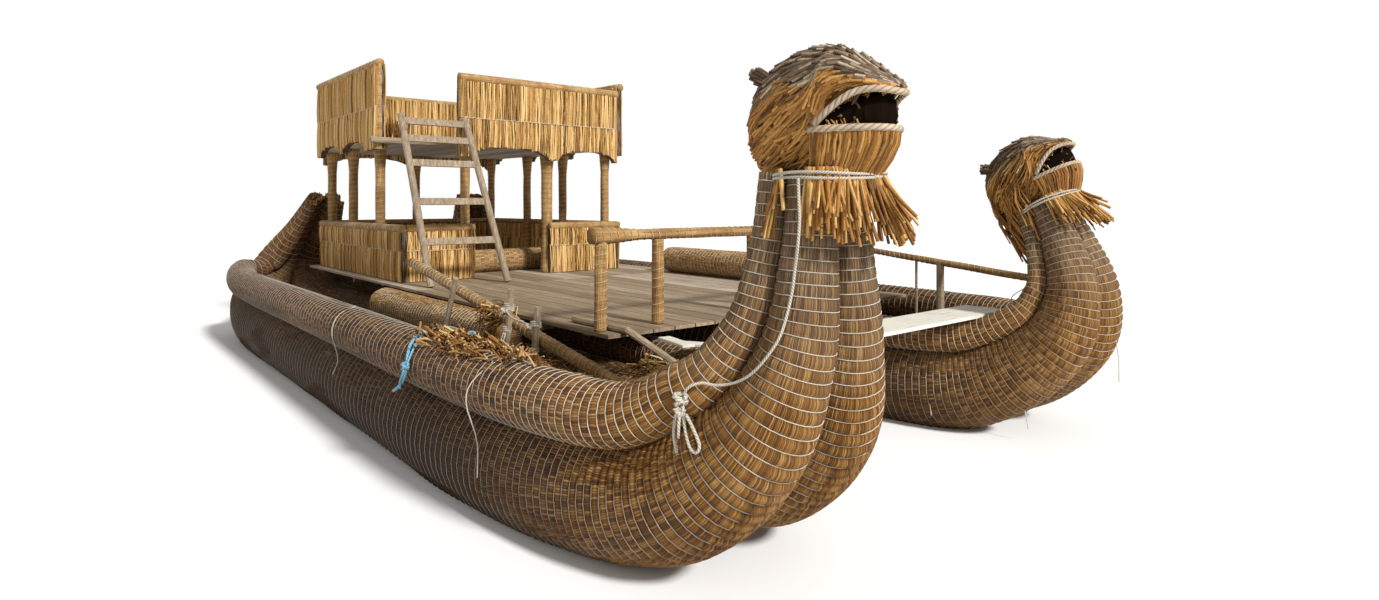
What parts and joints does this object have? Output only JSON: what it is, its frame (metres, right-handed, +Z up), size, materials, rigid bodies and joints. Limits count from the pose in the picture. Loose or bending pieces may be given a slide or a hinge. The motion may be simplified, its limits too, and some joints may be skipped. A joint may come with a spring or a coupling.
{
  "type": "reed boat",
  "caption": "Twin-hull reed boat with animal-head prows, a plank deck, a two-storey reed pavilion with a ladder, and reed railings.",
  "frame": {"origin": "on the boat's centre plane amidships, at the waterline", "axes": "+X to the bow, along the boat's length; +Y to port; +Z up"},
  "size_m": [12.8963, 6.2926, 4.4032],
  "materials": {
    "blue_rope": "light blue rope",
    "bound_roll": "twine-bound reed roll, matte",
    "fringe_reed": "golden cut reed stems, matte",
    "grey_wood": "weathered raw wood, matte",
    "head_reed": "layered dry reed, matte",
    "mat_reed": "upright reed matting, matte",
    "rope": "off-white plastic twine and rope",
    "weathered_reed": "bundled dry totora reed, weathered, matte",
    "white_board": "sawn boards, chalky pale",
    "wrapped_pole": "pole wrapped in reed, matte"
  },
  "bodies": {
    "root": {"starboard_bundle_outer": "weathered_reed", "starboard_gunwale_outer": "weathered_reed", "starboard_bundle_inner": "weathered_reed", "starboard_gunwale_inner": "weathered_reed", "starboard_filler_roll": "weathered_reed", "starboard_skull": "head_reed", "starboard_jaw": "fringe_reed", "starboard_collar": "fringe_reed", "starboard_neck_tie": "rope", "port_bundle_outer": "weathered_reed", "port_gunwale_outer": "weathered_reed", "port_bundle_inner": "weathered_reed", "port_gunwale_inner": "weathered_reed", "port_filler_roll": "weathered_reed", "port_skull": "head_reed", "port_jaw": "fringe_reed", "port_collar": "fringe_reed", "port_neck_tie": "rope", "cross_log_1": "grey_wood", "cross_log_2": "grey_wood", "cross_log_3": "grey_wood", "deck": "grey_wood", "post_front_door_starboard": "wrapped_pole", "post_front_door_port": "wrapped_pole", "post_front_port": "wrapped_pole", "post_starboard_fore": "wrapped_pole", "post_starboard_aft": "wrapped_pole", "post_back_starboard": "wrapped_pole", "post_back_middle": "wrapped_pole", "post_back_port": "wrapped_pole", "post_port_aft": "wrapped_pole", "post_port_fore": "wrapped_pole", "wall_starboard": "mat_reed", "wall_front_starboard": "mat_reed", "wall_front_port": "mat_reed", "wall_port": "mat_reed", "wall_back": "mat_reed", "parapet_starboard": "mat_reed", "parapet_front": "mat_reed", "parapet_port": "mat_reed", "parapet_back": "mat_reed", "upper_floor": "grey_wood", "notch_log": "grey_wood", "ladder": "grey_wood", "rail_post_starboard": "wrapped_pole", "rail_post_middle": "wrapped_pole", "rail_post_port": "wrapped_pole", "rail_pole": "wrapped_pole", "side_roll": "bound_roll", "bench_roll": "bound_roll", "loose_roll": "bound_roll", "gunwale_pole": "wrapped_pole", "stake_aft": "grey_wood", "stake_middle": "grey_wood", "stake_fore": "grey_wood", "spar": "grey_wood", "bow_board": "white_board", "port_pole": "grey_wood", "blue_rope": "blue_rope", "neck_line": "rope"}
  },
  "joints": []
}
